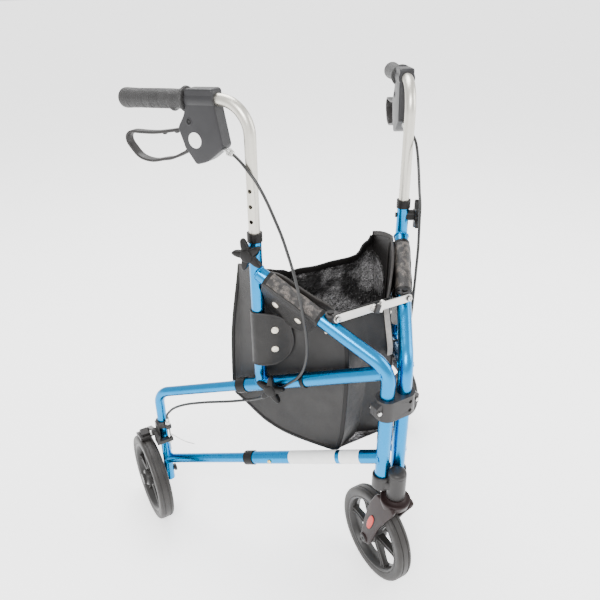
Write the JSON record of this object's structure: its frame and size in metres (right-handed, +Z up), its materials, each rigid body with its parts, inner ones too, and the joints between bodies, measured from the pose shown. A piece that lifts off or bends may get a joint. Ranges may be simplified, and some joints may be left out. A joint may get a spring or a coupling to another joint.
{
  "type": "three wheel rollator",
  "caption": "Folding three-wheeled walking frame: tube side frames on a caster head, height-adjustable handles with loop brake levers, fold brace and hanging bag.",
  "frame": {"origin": "middle of the bounding box's base, on the floor between the front and rear wheels", "axes": "+Z up, -Y towards the front caster, +X towards the user's left"},
  "size_m": [0.7118, 0.5684, 0.928],
  "materials": {
    "frame_blue": "metallic satin",
    "handle_silver": "satin anodised",
    "black_plastic": "satin moulded",
    "grip_rubber": "matt textured",
    "tyre_grey": "matt",
    "wheel_grey": "satin moulded",
    "bag_vinyl": "grained coated cloth",
    "steel": "zinc plated",
    "cable_black": "smooth sleeve",
    "reflector_red": "gloss",
    "button_brass": "plated"
  },
  "bodies": {
    "head": {"head_casting": "black_plastic", "front_clamp": "black_plastic", "rear_clamp": "black_plastic", "clamp_screws": "steel", "bag_body": "bag_vinyl"},
    "caster": {"caster_fork": "black_plastic", "caster_stem": "steel", "fork_reflectors": "reflector_red", "front_axle": "steel"},
    "front_wheel": {"front_rim": "wheel_grey", "front_tyre": "tyre_grey", "front_bearings": "steel"},
    "right_frame": {"right_main_tube": "frame_blue", "right_mid_rail": "frame_blue", "right_lower_rail": "frame_blue", "right_rear_upright": "frame_blue", "right_tube_collars": "black_plastic", "right_cable": "cable_black", "right_bag_side": "bag_vinyl", "right_rear_leg": "frame_blue", "right_brake_bracket": "black_plastic", "right_rear_axle": "steel"},
    "right_handle": {"right_handle_tube": "handle_silver", "right_brake_housing": "black_plastic", "right_grip": "grip_rubber", "right_cable_adjuster": "steel"},
    "right_lever": {"right_brake_lever": "black_plastic"},
    "right_height_knob_body": {"right_height_knob": "black_plastic"},
    "right_leg_knob_body": {"right_leg_knob": "black_plastic"},
    "right_button": {"right_leg_button": "button_brass"},
    "right_rear_wheel": {"right_rear_rim": "wheel_grey", "right_rear_tyre": "tyre_grey", "right_rear_bearings": "steel"},
    "right_shoe": {"right_brake_shoe": "black_plastic"},
    "right_brace_swivel": {"right_brace_bracket": "black_plastic"},
    "right_brace_arm": {"right_brace_link": "steel"},
    "left_frame": {"left_main_tube": "frame_blue", "left_mid_rail": "frame_blue", "left_lower_rail": "frame_blue", "left_rear_upright": "frame_blue", "left_tube_collars": "black_plastic", "left_cable": "cable_black", "left_bag_side": "bag_vinyl", "left_rear_leg": "frame_blue", "left_brake_bracket": "black_plastic", "left_rear_axle": "steel"},
    "left_handle": {"left_handle_tube": "handle_silver", "left_brake_housing": "black_plastic", "left_grip": "grip_rubber", "left_cable_adjuster": "steel"},
    "left_lever": {"left_brake_lever": "black_plastic"},
    "left_height_knob_body": {"left_height_knob": "black_plastic"},
    "left_leg_knob_body": {"left_leg_knob": "black_plastic"},
    "left_button": {"left_leg_button": "button_brass"},
    "left_rear_wheel": {"left_rear_rim": "wheel_grey", "left_rear_tyre": "tyre_grey", "left_rear_bearings": "steel"},
    "left_shoe": {"left_brake_shoe": "black_plastic"},
    "left_brace_swivel": {"left_brace_bracket": "black_plastic"},
    "left_brace_arm": {"left_brace_link": "steel"}
  },
  "joints": [
    {"name": "caster_swivel", "type": "hinge", "parent": "head", "child": "caster", "pos_m": [0, -0.23715, 0.25], "axis": [0, 0, 1], "continuous": true},
    {"name": "front_spin", "type": "hinge", "parent": "caster", "child": "front_wheel", "pos_m": [0, -0.18915, 0.095], "axis": [1, 0, 0], "continuous": true},
    {"name": "right_fold", "type": "hinge", "parent": "head", "child": "right_frame", "pos_m": [-0.0178, -0.21515, 0.35], "axis": [0, 0, -1], "range_deg": [0, 30], "deforming": ["bag_body"]},
    {"name": "right_handle_height", "type": "slide", "parent": "right_frame", "child": "right_handle", "axis": [0, 0, 1], "range_m": [-0.1016, 0.0508], "deforming": ["right_cable"]},
    {"name": "right_lever_squeeze", "type": "hinge", "parent": "right_handle", "child": "right_lever", "pos_m": [-0.20081, 0.06519, 0.851], "axis": [0.8669, 0.4985, 0], "range_deg": [0, 10], "stiffness_Nm_per_rad": 1.5, "springref_deg": -8.59},
    {"name": "right_height_knob_turn", "type": "hinge", "parent": "right_frame", "child": "right_height_knob_body", "pos_m": [-0.15396, -0.0163, 0.677], "axis": [-0.8251, -0.565, 0], "continuous": true},
    {"name": "right_leg_knob_turn", "type": "hinge", "parent": "right_frame", "child": "right_leg_knob_body", "pos_m": [-0.13531, -0.04353, 0.41907], "axis": [-0.8251, -0.565, 0], "continuous": true},
    {"name": "right_button_press", "type": "slide", "parent": "right_frame", "child": "right_button", "axis": [0.8251, 0.565, 0], "range_m": [0, 0.0025], "stiffness_N_per_m": 800, "springref_m": -0.002},
    {"name": "right_rear_spin", "type": "hinge", "parent": "right_frame", "child": "right_rear_wheel", "pos_m": [-0.33263, 0.18915, 0.095], "axis": [1, 0, 0], "continuous": true},
    {"name": "right_shoe_press", "type": "hinge", "parent": "right_frame", "child": "right_shoe", "pos_m": [-0.29463, 0.18915, 0.212], "axis": [-1, 0, 0], "range_deg": [0, 3.2]},
    {"name": "right_bracket_swivel", "type": "hinge", "parent": "right_frame", "child": "right_brace_swivel", "pos_m": [-0.07712, -0.12852, 0.58322], "axis": [0, 0, 1], "range_deg": [0, 30]},
    {"name": "right_brace_rise", "type": "hinge", "parent": "right_brace_swivel", "child": "right_brace_arm", "pos_m": [-0.07212, -0.14052, 0.58222], "axis": [0, -1, 0], "range_deg": [0, 74.2]},
    {"name": "left_fold", "type": "hinge", "parent": "head", "child": "left_frame", "pos_m": [0.0178, -0.21515, 0.35], "axis": [0, 0, 1], "range_deg": [0, 30]},
    {"name": "left_handle_height", "type": "slide", "parent": "left_frame", "child": "left_handle", "axis": [0, 0, 1], "range_m": [-0.1016, 0.0508], "deforming": ["left_cable"]},
    {"name": "left_lever_squeeze", "type": "hinge", "parent": "left_handle", "child": "left_lever", "pos_m": [0.20081, 0.06519, 0.851], "axis": [0.8669, -0.4985, 0], "range_deg": [0, 10], "stiffness_Nm_per_rad": 1.5, "springref_deg": -8.59},
    {"name": "left_height_knob_turn", "type": "hinge", "parent": "left_frame", "child": "left_height_knob_body", "pos_m": [0.15396, -0.0163, 0.677], "axis": [0.8251, -0.565, 0], "continuous": true},
    {"name": "left_leg_knob_turn", "type": "hinge", "parent": "left_frame", "child": "left_leg_knob_body", "pos_m": [0.13531, -0.04353, 0.41907], "axis": [0.8251, -0.565, 0], "continuous": true},
    {"name": "left_button_press", "type": "slide", "parent": "left_frame", "child": "left_button", "axis": [-0.8251, 0.565, 0], "range_m": [0, 0.0025], "stiffness_N_per_m": 800, "springref_m": -0.002},
    {"name": "left_rear_spin", "type": "hinge", "parent": "left_frame", "child": "left_rear_wheel", "pos_m": [0.33263, 0.18915, 0.095], "axis": [1, 0, 0], "continuous": true},
    {"name": "left_shoe_press", "type": "hinge", "parent": "left_frame", "child": "left_shoe", "pos_m": [0.29463, 0.18915, 0.212], "axis": [-1, 0, 0], "range_deg": [0, 3.2]},
    {"name": "left_bracket_swivel", "type": "hinge", "parent": "left_frame", "child": "left_brace_swivel", "pos_m": [0.07712, -0.12852, 0.58322], "axis": [0, 0, -1], "range_deg": [0, 30]},
    {"name": "left_brace_rise", "type": "hinge", "parent": "left_brace_swivel", "child": "left_brace_arm", "pos_m": [0.07212, -0.14052, 0.58222], "axis": [0, 1, 0], "range_deg": [0, 74.2]}
  ],
  "couplings": [
    {"joint": "right_bracket_swivel", "follows": "right_fold", "ratio": 1},
    {"joint": "right_brace_rise", "follows": "right_fold", "ratio": 2.4397},
    {"joint": "right_shoe_press", "follows": "right_lever_squeeze", "ratio": 0.3},
    {"joint": "left_fold", "follows": "right_fold", "ratio": 1},
    {"joint": "left_bracket_swivel", "follows": "right_fold", "ratio": 1},
    {"joint": "left_brace_rise", "follows": "right_fold", "ratio": 2.4397},
    {"joint": "left_shoe_press", "follows": "left_lever_squeeze", "ratio": 0.3}
  ]
}
